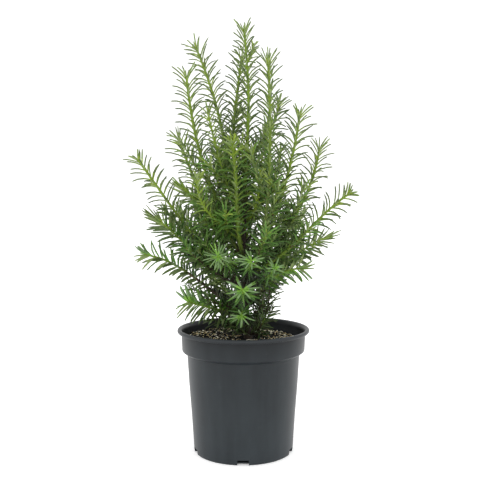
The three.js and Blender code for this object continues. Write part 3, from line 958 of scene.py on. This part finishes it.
@dataclass
class Needles:
    """Turns stems into needles: flat curved blades with a raised midrib and a pale underside."""

    seed: int = 7
    stations: Row = (0.0, 0.12, 0.36, 0.68, 0.9)
    widths: Row = (0.42, 0.82, 1.0, 0.9, 0.55)
    thickness: float = 1.7
    keel: float = 0.18
    root: float = 0.2
    sunk: float = 0.7  # how far from a stem's middle a needle starts, in radii
    uneven: float = 1.3  # how far a needle slips along the stem, in spacings
    crowd: Pair = (0.2, 4.0)  # how far behind the tip the tuft stands
    jitter: float = 0.16  # spread of the spiral's turn, in radians
    spin: float = 6.28  # range of its first turn
    loose: float = 5.0  # spread of the angle at a needle's foot
    ripe: float = 200.0  # distance behind the tip at which a needle is oldest
    sink: float = 12.0  # how much further out the oldest lean
    spread: float = 0.08  # spread of the needles' sizes
    behind: float = 9.0  # distance behind the tip in which the first steps of tone are taken
    mottle: float = 0.5  # spread of the tone
    paler: Row = (2.4, 1.2, 0.0, 0.0)  # lag of each part's tone, from foot to tip
    duller: Pair = (1.0, 0.0)
    rim: Triple = (84.0, 99.0, 181.0)  # inner and outer radius and height of what the pot's lip takes up
    ground: float = 166.5

    def __post_init__(self) -> None:
        """Seeds the scatter and lays out one blade's faces."""
        self.dice = np.random.default_rng(self.seed)
        rings = len(self.stations)
        self.faces = ring_faces(rings, 4)
        sides = np.tile([1, 1, 0, 0], rings - 1)
        self.top = np.concatenate([sides, [0, 0, 0, 0], [1, 1, 0, 0]]).astype(bool)
        self.part = np.concatenate([np.repeat(np.arange(rings - 1), 4), [0, 0, 0, 0], [3, 3, 3, 3]])

    def skin(self, blades: Blades) -> Array:
        """Points of many blades: four round each station, a pole in the stem and the tip.

        Args:
            blades: the blades.

        Returns:
            The points, blade by blade.
        """
        width, rows = blades.size[:, 1:], []
        for station, share in zip(self.stations, self.widths):
            spine, along = blades.spine(station)
            wide = unit(blades.across - along * (blades.across * along).sum(1, keepdims=True))
            up = np.cross(along, wide)
            half = wide * width * share / 2
            sag = up * width * share * self.keel
            thick = up * self.thickness / 2
            rows += [spine + half - sag, spine + thick, spine - half - sag, spine - thick - sag * 0.4]
        return np.stack(rows + [blades.base - blades.leave * self.root, blades.spine(1.0)[0]], 1)

    def _outward(self, habit: Growth, along: Array, side: Array, over: Array) -> Array:
        """Directions straight out of a stem, in a spiral that is combed apart.

        Args:
            habit: how the stem carries its needles.
            along: the stem's direction at each needle.
            side: its first sideways direction there.
            over: its second one.

        Returns:
            The directions.
        """
        count = len(along)
        turn = np.arange(count) * GOLDEN + self.dice.normal(0, self.jitter, count)
        turn = turn + self.dice.uniform(0, self.spin)
        out = np.cos(turn)[:, None] * side + np.sin(turn)[:, None] * over
        upward = unit(UP - along * along[:, 2:])
        level = np.cross(along, upward)
        angle = np.arctan2((out * level).sum(1), (out * upward).sum(1))
        flat = along[:, :2] ** 2
        facing = (flat[:, 0] - flat[:, 1]) / (flat.sum(1) + 0.01)
        angle = angle - (habit.comb + habit.facing * facing) * np.sin(2 * angle)
        return np.cos(angle)[:, None] * upward + np.sin(angle)[:, None] * level

    def sprout(self, stem: Stem) -> tuple[Array, Array]:
        """Grows the needles of one stem.

        Args:
            stem: the stem.

        Returns:
            The points of the blades that clear the compost and the lip, and the slots of their parts.
        """
        habit, dice, end = stem.habit.value, self.dice, stem.axis.length
        run = end - stem.leafy
        count = max(3, int(run / habit.spacing))
        place = stem.leafy + run * (np.arange(count) + dice.uniform(0, self.uneven, count)) / count
        place = np.concatenate([place, end - dice.uniform(*self.crowd, habit.tuft)])
        count, back = len(place), end - place
        point, along, side, over = stem.axis.at(place)
        out = self._outward(habit, along, side, over)
        near_tip = np.exp(-back / habit.bud)
        shut = habit.close * (np.exp(-((back / habit.grip) ** 2)) if habit.grip else near_tip)
        age = np.clip(back / self.ripe, 0, 1)

        leave = lean(habit.leave * (1 - habit.hug * shut) + dice.normal(0, self.loose, count), along, out)
        bend = habit.arrive * (1 - shut) - habit.fold * out[:, 2] + self.sink * age
        arrive = lean(bend + dice.normal(0, habit.stray, count) * (1 - shut), along, out)
        arrive = unit(arrive - UP * (habit.droop * (0.25 + age) * (1 - near_tip))[:, None])
        flat = np.cross(along, out)
        across = lean(dice.normal(habit.twist, habit.roll, count), flat, np.cross(leave, flat))

        length = habit.length * stem.vigour * (1 - habit.short * near_tip) * (1 - habit.shrink * age)
        width = habit.width * (0.4 + 0.6 * stem.vigour) * (1 - 0.1 * near_tip - 0.3 * shut)
        chance = dice.normal(0, self.spread, (count, 2)) * (1 + 2 * shut[:, None])
        size = np.stack([length, width], 1) * (1 + chance)
        base = point + out * (np.interp(place / end, [0, 1], stem.radii) * self.sunk)[:, None]
        points = self.skin(Blades(base, leave, arrive, across, size, habit.early))

        level = (habit.first + 1) * (1 - np.exp(-back / self.behind)) + back / habit.pace
        # the stem's darker tone, painted shade included, and chance
        level = level + stem.spray + dice.normal(0, self.mottle, count)
        tone = deal(habit.greens, level, self.paler)
        if habit.ends:
            tone[:, 2:] = deal(habit.ends, level, self.duller)
        radius, (near, far, top) = np.hypot(points[..., 0], points[..., 1]), self.rim
        by_rim = ((radius > near) & (radius < far) & (points[..., 2] < top)).any(1)
        keep = (points[..., 2].min(1) > self.ground) & ~by_rim
        return points[keep], tone[keep]

    def fill(self, shape: Shape, stem: Stem) -> int:
        """Adds the needles of one stem to a shape.

        Args:
            shape: the shape that takes them.
            stem: the stem.

        Returns:
            How many were added.
        """
        points, tone = self.sprout(stem)
        number, size = points.shape[:2]
        if number:
            faces = self.faces + (np.arange(number) * size)[:, None, None]
            faces = np.where(self.faces < 0, -1, faces).reshape(-1, 4)
            tone = tone[:, self.part]
            bright = slots(LIME, FRESH, OLIVE, VIVID, CLEAR, BLUISH)
            pale, dull = slots(UNDER_YOUNG, UNDER_OLD)
            kinds = [np.isin(tone, bright), np.isin(tone, slots(DUSK, DIM))]
            under = np.select(kinds, [pale, tone], dull)
            shape.add(points.reshape(-1, 3), faces, np.where(self.top, tone, under).reshape(-1))
        return number


@dataclass
class Twigs:
    """Skins the stems: ribbed green shoots that turn olive and then brown towards their feet."""

    rib: float = 0.13
    ribs: int = 3
    winding: float = 0.9
    main_sides: int = 8
    inner_sides: int = 6
    main_ages: Row = (80, 190, 280, 350)
    inner_ages: Row = (10, 26, 55, 90)
    # how far a stem's darker tone, painted shade included, brings its bark's older tones nearer its tip
    painted_darkening: float = 0.35

    def fill(self, shape: Shape, stem: Stem) -> None:
        """Adds one stem.

        Args:
            shape: the shape that takes it.
            stem: the stem.
        """
        axis = stem.axis
        sides = self.main_sides if stem.main else self.inner_sides
        radius = np.interp(axis.run, [0, axis.length], stem.radii)
        ribs = 1 + self.rib * np.sin(self.ribs * around(sides) + axis.run[:, None] * self.winding)
        points, faces = axis.tube(radius[:, None] * ribs)
        ages = np.array(self.main_ages if stem.main else self.inner_ages) * stem.habit.value.haste
        # a darker shoot, painted shade included, turns olive and brown nearer its tip
        ages = ages * (1 - self.painted_darkening * min(max(stem.spray, 0.0), 2.0))
        tone = np.digitize(axis.length - axis.run, ages)
        tones = np.concatenate([np.repeat(tone[:-1], sides), np.repeat(tone[[0, -1]], sides)])
        shape.add(points, faces, tones)


@dataclass
class Plant:
    """The whole plant over its trunk: bark, twigs and needles."""

    crown: Crown = field(default_factory=Crown)
    needles: Needles = field(default_factory=Needles)
    twigs: Twigs = field(default_factory=Twigs)
    trunk_sides: int = 22
    bough_sides: int = 16
    span: Pair = (161.0, 606.0)
    step: float = 1.5
    bough_radii: Pair = (3.1, 2.1)
    relief: float = 0.10
    knots: float = 0.07
    split: float = 290.0

    def bark(self, axis: Axis, radius: Array, sides: int) -> tuple[Array, Array]:
        """A limb's skin with lengthwise cracks and low knots.

        Args:
            axis: the limb's line.
            radius: its radius at every step.
            sides: points round it.

        Returns:
            Points and faces.
        """
        angle, run = around(sides)[None], axis.run[:, None]
        ridges = np.abs(np.sin(4 * angle + 0.05 * run + 1.3 * np.sin(0.031 * run)))
        knots = np.sin(2 * angle + 0.11 * run) * np.sin(0.07 * run + angle)
        knots = knots + 0.6 * np.sin(0.4 * run + 3 * angle)
        return axis.tube(radius[:, None] * (1 - self.relief * (1 - ridges) + self.knots * knots))

    def build_limbs(self) -> list[Object]:
        """Makes the trunk and the boughs.

        Returns:
            The pieces.
        """
        bark = BarkFinish().material()
        line = self.crown.line
        trunk, boughs = Shape(), Shape()
        axis = Axis(line.centre(np.arange(*self.span, self.step)), self.step)
        trunk.add(*self.bark(axis, line.radius(axis.points[:, 2]), self.trunk_sides))
        shoots = [shoot for shoot in SHOOTS if shoot.bough]
        for shoot in shoots:
            full = Axis(self.crown.main_line(shoot), self.step).points
            part = Axis(full[: int(len(full) * shoot.bare) + 2], self.step)
            boughs.add(*self.bark(part, np.linspace(*self.bough_radii, len(part.points)), self.bough_sides))
        trunk_piece = trunk.piece("trunk_bark", [bark], 50)
        bough_piece = boughs.piece("bough_bark", [bark], 50)
        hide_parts("trunk")
        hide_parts(*("bough_" + shoot.name for shoot in shoots))
        return [trunk_piece, bough_piece]

    @staticmethod
    def stands_for() -> dict[str, list[str]]:
        """Shares the solids of the foliage out among the pieces that replace them.

        Returns:
            The solids' names for each piece.
        """
        nodes = sorted(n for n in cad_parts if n.startswith("foliage_"))
        low = [n for n in nodes if "heart_lower" in n or "heart_middle" in n]
        high = [n for n in nodes if "heart_upper" in n]
        fronts = [n for n in nodes if n.startswith("foliage_front_") and not n.endswith(("_tall", "_high"))]
        outer = [n for n in nodes if n not in low + high + fronts]
        return {"needles_outer": outer, "needles_front": fronts, "needles_low": low, "needles_high": high}

    def group_of(self, stem: Stem) -> str:
        """The name of the piece that takes a stem's needles."""
        if stem.main:
            return "needles_front" if stem.habit in FACING else "needles_outer"
        return "needles_low" if stem.axis.points[0, 2] < self.split else "needles_high"

    def build(self) -> list[Object]:
        """Makes every piece of the plant.

        Returns:
            The pieces.
        """
        pieces = self.build_limbs()
        greens = [PlainFinish("needle_" + tone.name.lower(), tone.value, 0.48).material() for tone in Tone]
        barks = [PlainFinish(f"stem_{i}", colour, 0.6).material() for i, colour in enumerate(STEM_COLOURS)]
        solids = self.stands_for()
        twig, groups, counts = Shape(), {name: Shape() for name in solids}, dict.fromkeys(solids, 0)
        for stem in self.crown.grow():
            if stem.skinned:
                self.twigs.fill(twig, stem)
            group = self.group_of(stem)
            counts[group] += self.needles.fill(groups[group], stem)
        pieces.append(twig.piece("twigs", barks, 60))
        for name, shape in groups.items():
            piece = shape.piece(name, greens, 35)
            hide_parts(*solids[name])
            "old_needles" if name in ("needles_low", "needles_high") else "young_needles"
            LOG.info("%s: %d needles", name, counts[name])
            pieces.append(piece)
        return pieces


# -------- pot and compost


@dataclass
class Pot:
    """The pot: thin tapered wall, shoulder, collar, rolled lip, floor and drain cuts."""

    height: float = 178
    foot: float = 71.6  # outer radius at the foot
    waist: Pair = (81, 142.5)  # radius and height where the wall ends and the shoulder begins
    collar_foot: Pair = (88.2, 147)
    collar_top: Pair = (89.4, 170.8)
    lip: float = 95
    wall: float = 1.6
    floor: float = 2.4
    segments: int = 160
    notches: int = 5
    notch: Triple = (8, 16, 7.2)  # how far in, how wide and how tall
    past: float = 12  # how far a notch's cutter stands out past the wall
    crease: float = 32

    def outline(self) -> Array:
        """The section of the pot, as small steps off its named sizes.

        Returns:
            Radius and height, from the underside's centre round to the floor's centre.
        """
        (waist, waist_z), (foot, foot_z), (top, top_z) = self.waist, self.collar_foot, self.collar_top
        wall, lip, high, floor = self.wall, self.lip, self.height, self.floor
        outside = [
            (self.foot - 4, 0), (self.foot - 1.2, 0), (self.foot - 0.4, 0.5), (self.foot, 1.5),
            (self.foot + 0.35, 6), (self.foot + 3.1, 50), (waist - 2.5, 100), (waist - 0.1, waist_z - 2),
            (waist + 0.15, waist_z - 0.6), (waist + 0.9, waist_z + 0.1), (waist + 3.6, waist_z + 1.4),
            (foot - 1.6, foot_z - 1.5), (foot - 0.4, foot_z - 0.6), (foot + 0.05, foot_z + 0.9),
            (top - 0.35, top_z - 6), (top - 0.8, top_z - 2.4), (top - 1.0, top_z), (top - 0.2, top_z + 1.2),
        ]
        bead = [
            (lip - 2.4, top_z + 1.4), (lip - 1.0, top_z + 1.9), (lip - 0.2, top_z + 3.0), (lip, top_z + 4.2),
            (lip - 0.2, high - 1.9), (lip - 0.8, high - 0.8), (lip - 1.8, high - 0.2), (lip - 3.0, high),
            (lip - 4.4, high - 0.5), (top - wall + 1.3, high - 1.8), (top - wall + 0.2, high - 5),
        ]
        inside = [
            (top - wall, top_z), (foot - wall, foot_z + 1.7), (foot - wall - 0.8, foot_z + 0.5),
            (waist - wall + 0.7, waist_z + 1.4), (waist - wall, waist_z), (self.foot - wall + 0.3, 6),
            (self.foot - wall - 0.6, floor + 0.6), (self.foot - wall - 1.8, floor),
        ]
        return np.array(outside + bead + inside, float)

    def build(self) -> Object:
        """Makes the pot.

        Returns:
            The piece.
        """
        rings = [circle(radius, height, self.segments) for radius, height in self.outline()]
        shape = Shape()
        faces = ring_faces(len(rings), self.segments)
        shape.add(np.concatenate([*rings, [(0, 0, 0), (0, 0, self.floor)]]), faces)
        piece = shape.piece("pot", [PotPlastic().material()], self.crease)
        self._cut(piece)
        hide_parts("nursery_pot")
        return piece

    def _cut(self, piece: Object) -> None:
        """Cuts the drain notches out of the corner of wall and floor.

        Args:
            piece: the pot.
        """
        cutters = Shape()
        depth, width, tall = self.notch
        near, far = self.foot - depth, self.foot + self.past
        for i in range(self.notches):
            turn = -90 + 360 * i / self.notches
            out, side = heading(turn), heading(turn + 90)
            sides = np.array([out * (far - near), side * width, UP * 2 * tall])
            cutters.add(out * (near + far) / 2 + BOX @ sides, BOX_FACES)
        tool = cutters.piece("notch_tool", [])
        change = piece.modifiers.new("notches", "BOOLEAN")
        change.object, change.operation, change.solver = tool, "DIFFERENCE", "EXACT"
        graph = bpy.context.evaluated_depsgraph_get()
        mesh = bpy.data.meshes.new_from_object(piece.evaluated_get(graph))
        piece.modifiers.clear()
        piece.data = mesh
        smooth(mesh, self.crease)
        bpy.data.objects.remove(tool)


@dataclass
class Compost:
    """The compost: a plug that fills the pot, its crumbly top, and the chips and fibres on it."""

    level: float = 162.5
    radius: float = 86.85
    middle: float = 1.5
    flat: float = 24
    slope: float = -0.03
    hump: float = 1.3
    edge: Pair = (3, 1.2)  # width of the smooth margin and how far it sinks
    sides: int = 180
    rings: int = 64
    plug: tuple[Pair, ...] = ((62.0, 3.0), (69.5, 10.0), (79.0, 144.5), (86.2, 149.5))
    seed: int = 5
    crumb_sizes: Row = (9.0, 5.5, 3.4, 2.2)
    crumb_waves: int = 5
    crumb_height: float = 0.035
    crumbs_laid: int = 2600
    chips: int = 1300
    chip_size: tuple[Pair, ...] = ((1.4, 4.6), (0.8, 2.0), (0.5, 1.1))
    chip_wear: Pair = (0.6, 1.15)  # how far out a chip's corners stand, in half sizes
    tilt: float = 0.35  # spread of its lean, in radians
    proud: Pair = (0.2, 0.5)  # how far crumbs and chips are lifted, in thicknesses
    patches: tuple[Triple, ...] = ((-52, 30, 22), (-34, 4, 14), (59, 2, 20), (20, -58, 24), (50, 52, 14))
    sparse: float = 0.2
    fibres: int = 170
    fibre_length: Pair = (6, 18)
    fibre_radius: Pair = (0.25, 0.5)
    fibre_bend: float = 0.5
    fibre_rise: Pair = (0.5, 1.2)  # how far its ends lie above the crumbs, and how far its middle may arch
    trunk: Pair = (6.6, 0)
    room: Pair = (11, 10)  # how far chips and fibres stay from the trunk's centre
    within: Triple = (83.5, 78, 84)  # radii in which chips lie, fibres start and fibres lie
    tones: tuple[Colour, ...] = ((255, 250, 226), (206, 188, 142), (48, 42, 32), (17, 15, 12))
    # shares of the tones among crumbs, chips and fibres
    mixes: tuple[Row, ...] = ((0, 0, 0.3, 0.7), (0.52, 0.48, 0, 0), (0.2, 0.3, 0.5, 0))

    def __post_init__(self) -> None:
        """Seeds the litter."""
        self.dice, self.litter = np.random.default_rng(self.seed + 1), Shape()

    def top(self, x: Array, y: Array, fade: Any = 1.0) -> Array:
        """Height of the top: flat round the trunk and then in humps, with small lumps all over.

        Args:
            x: places to the right.
            y: places behind.
            fade: share of the lumps' height.

        Returns:
            The heights.
        """
        away = np.clip((np.hypot(x, y) - self.flat) / self.flat, 0, 1)
        humps = self.hump * np.sin(x / 11 + 1.7) * np.cos(y / 13 - 0.6)
        total = self.level + away * away * (3 - 2 * away) * (humps + self.slope * x)
        dice = np.random.default_rng(self.seed)
        for size in np.repeat(self.crumb_sizes, self.crumb_waves):
            turn, shift = dice.uniform(0, math.tau, 2)
            wave = np.sin((x * math.cos(turn) + y * math.sin(turn)) * math.tau / size + shift)
            total = total + wave * size * self.crumb_height * fade
        return total

    def build(self) -> list[Object]:
        """Makes the plug and what lies on it.

        Returns:
            The pieces.
        """
        radii = np.linspace(self.radius, self.middle, self.rings)
        top = np.array([circle(radius, 0, self.sides) for radius in radii])
        x, y = top[..., 0], top[..., 1]
        width, sunk = self.edge
        fade = np.clip((self.radius - radii) / width, 0, 1)[:, None]
        top[..., 2] = self.top(x, y, fade) - sunk * (1 - fade)
        rows = np.array([circle(radius, height, self.sides) for radius, height in self.plug])
        rows = np.concatenate([rows, top])
        poles = [(0, 0, self.plug[0][1]), (0, 0, top[-1, :, 2].mean())]
        plug = Shape()
        plug.add(np.concatenate([rows.reshape(-1, 3), poles]), ring_faces(len(rows), self.sides))
        bed = plug.piece("compost_bed", [CompostFinish().material()], 70)
        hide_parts("compost")
        self._lay_chips()
        self._lay_fibres()
        finishes = [PlainFinish(f"chip_{i}", tone, 0.85, 0.2).material() for i, tone in enumerate(self.tones)]
        return [bed, self.litter.piece("compost_chips", finishes)]

    def paleness(self, x: float, y: float) -> float:
        """How thickly chips lie at a place, from 0 to 1: patches of fresh chips on dark peat."""
        heaps = (math.exp(-((x - a) ** 2 + (y - b) ** 2) / size**2) for a, b, size in self.patches)
        return min(1.0, self.sparse + sum(heaps))

    def _spot(self, within: float) -> Array:
        """A random place on the top, within a radius of its middle."""
        radius, turn = within * math.sqrt(self.dice.uniform()), self.dice.uniform(0, math.tau)
        return np.array([radius * math.cos(turn), radius * math.sin(turn)])

    def _lay_chips(self) -> None:
        """Scatters crumbs of peat, and then bark chips where they lie thickly."""
        dice = self.dice
        for number in range(self.crumbs_laid + self.chips):
            spot = self._spot(self.within[0])
            chip = number >= self.crumbs_laid
            if math.dist(spot, self.trunk) < self.room[0] or (chip and dice.uniform() > self.paleness(*spot)):
                continue
            size = np.array([dice.uniform(*span) for span in self.chip_size])
            corners = BOX * size * dice.uniform(*self.chip_wear, BOX.shape) @ self._turned().T
            lift = self.top(*spot) + size[2] * self.proud[chip]
            tone = dice.choice(len(self.tones), p=self.mixes[chip])
            self.litter.add(corners + [*spot, float(lift)], BOX_FACES, tone)

    def _lay_fibres(self) -> None:
        """Scatters straw fibres, each bent to one side and arched over the crumbs."""
        dice, t = self.dice, np.linspace(0, 1, 6)
        for _ in range(self.fibres):
            start = self._spot(self.within[1])
            way, reach = dice.uniform(0, math.tau), dice.uniform(*self.fibre_length)
            x = start[0] + reach * t * math.cos(way)
            y = start[1] + reach * t * np.sin(way + self.fibre_bend * dice.normal() * t)
            clear = np.hypot(x - self.trunk[0], y - self.trunk[1]) >= self.room[1]
            if not (clear & (np.hypot(x, y) <= self.within[2])).all():
                continue
            ends, arch = self.fibre_rise
            z = self.top(x, y) + ends + dice.uniform(0, arch) * np.sin(math.pi * t)
            axis = Axis(np.stack([x, y, z], -1), 2.5)
            points, walls = axis.tube(np.full((len(axis.points), 4), dice.uniform(*self.fibre_radius)))
            self.litter.add(points, walls, dice.choice(len(self.tones), p=self.mixes[2]))

    def _turned(self) -> Array:
        """A random turn, as a matrix, that leaves a chip lying nearly flat."""
        turn, (nod, sway) = self.dice.uniform(0, math.tau), self.dice.normal(0, self.tilt, 2)
        return np.array(Euler((nod, sway, turn), "YXZ").to_matrix())


# -------- studio


@dataclass
class Studio:
    """A plain pale floor, soft white light from all round, and the camera."""

    eye: Triple = (9.5, -1075, 374)
    nod: float = 4.45
    lens: float = 54.216
    sensor: float = 36
    clip: Pair = (0.05, 60)
    world: float = 1.22
    far: float = 30000.0
    below: float = 0.2  # gap that keeps the floor clear of the pot's foot
    floor: PlainFinish = PlainFinish("floor_white", (246, 246, 246), 0.9, 0.1, 0.34)
    target: Triple = (0, 0, 300)
    # name, place, side and power in watts of square lamps that face the target
    lamps: tuple[tuple[str, Triple, float, float], ...] = (
        ("key", (-900, -1100, 1500), 900, 9.0),
        ("fill", (1100, -900, 900), 900, 4.0),
        ("back", (200, 1300, 1300), 900, 5.0),
        ("left_side", (-1500, 350, 450), 1000, 9.0),
        ("right_side", (1500, 350, 450), 1000, 9.0),
    )

    def build(self) -> None:
        """Makes the floor, the lights and the camera."""
        scene = bpy.context.scene
        scene.view_settings.view_transform = "Standard"
        shape, far = Shape(), self.far
        corners = [(-far, -far, 0), (far, -far, 0), (far, far, 0), (-far, far, 0)]
        shape.add(np.array(corners), np.array([(0, 1, 2, 3)]))
        floor = shape.piece("floor", [self.floor.material()])
        floor.location.z = -self.below * MM
        world = bpy.data.worlds.new("soft_white")
        world.use_nodes = True
        background = world.node_tree.nodes["Background"].inputs
        background["Color"].default_value = linear(WHITE)
        background["Strength"].default_value = self.world
        scene.world = world
        for name, place, size, power in self.lamps:
            light = bpy.data.lights.new(name, "AREA")
            light.size, light.energy = size * MM, power
            aim = unit(np.array(self.target) - np.array(place))
            self._stand(light, place, (math.acos(-aim[2]), 0, math.atan2(aim[0], -aim[1])))
        camera = bpy.data.cameras.new("camera")
        camera.lens, camera.sensor_width = self.lens, self.sensor
        camera.clip_start, camera.clip_end = self.clip
        scene.camera = self._stand(camera, self.eye, (math.radians(90 - self.nod), 0, 0))

    @staticmethod
    def _stand(thing: Any, place: Triple, turn: Triple) -> Object:
        """Puts a lamp or camera in the scene.

        Args:
            thing: its data.
            place: where it stands.
            turn: its rotation, in radians.

        Returns:
            The object that holds it.
        """
        holder = bpy.data.objects.new(thing.name, thing)
        holder.location = [v * MM for v in place]
        holder.rotation_euler = turn
        bpy.context.scene.collection.objects.link(holder)
        return holder


def main() -> None:
    """Builds the sub-assemblies in order and reports each piece."""
    logging.basicConfig(level=logging.INFO, format="%(message)s")
    pieces = [Pot().build(), *Compost().build(), *Plant().build()]
    for piece in pieces:
        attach(piece, "root")
        LOG.info("%s: %d faces", piece.name, len(piece.data.polygons))
    Studio().build()
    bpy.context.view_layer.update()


if __name__ == "__main__":
    main()
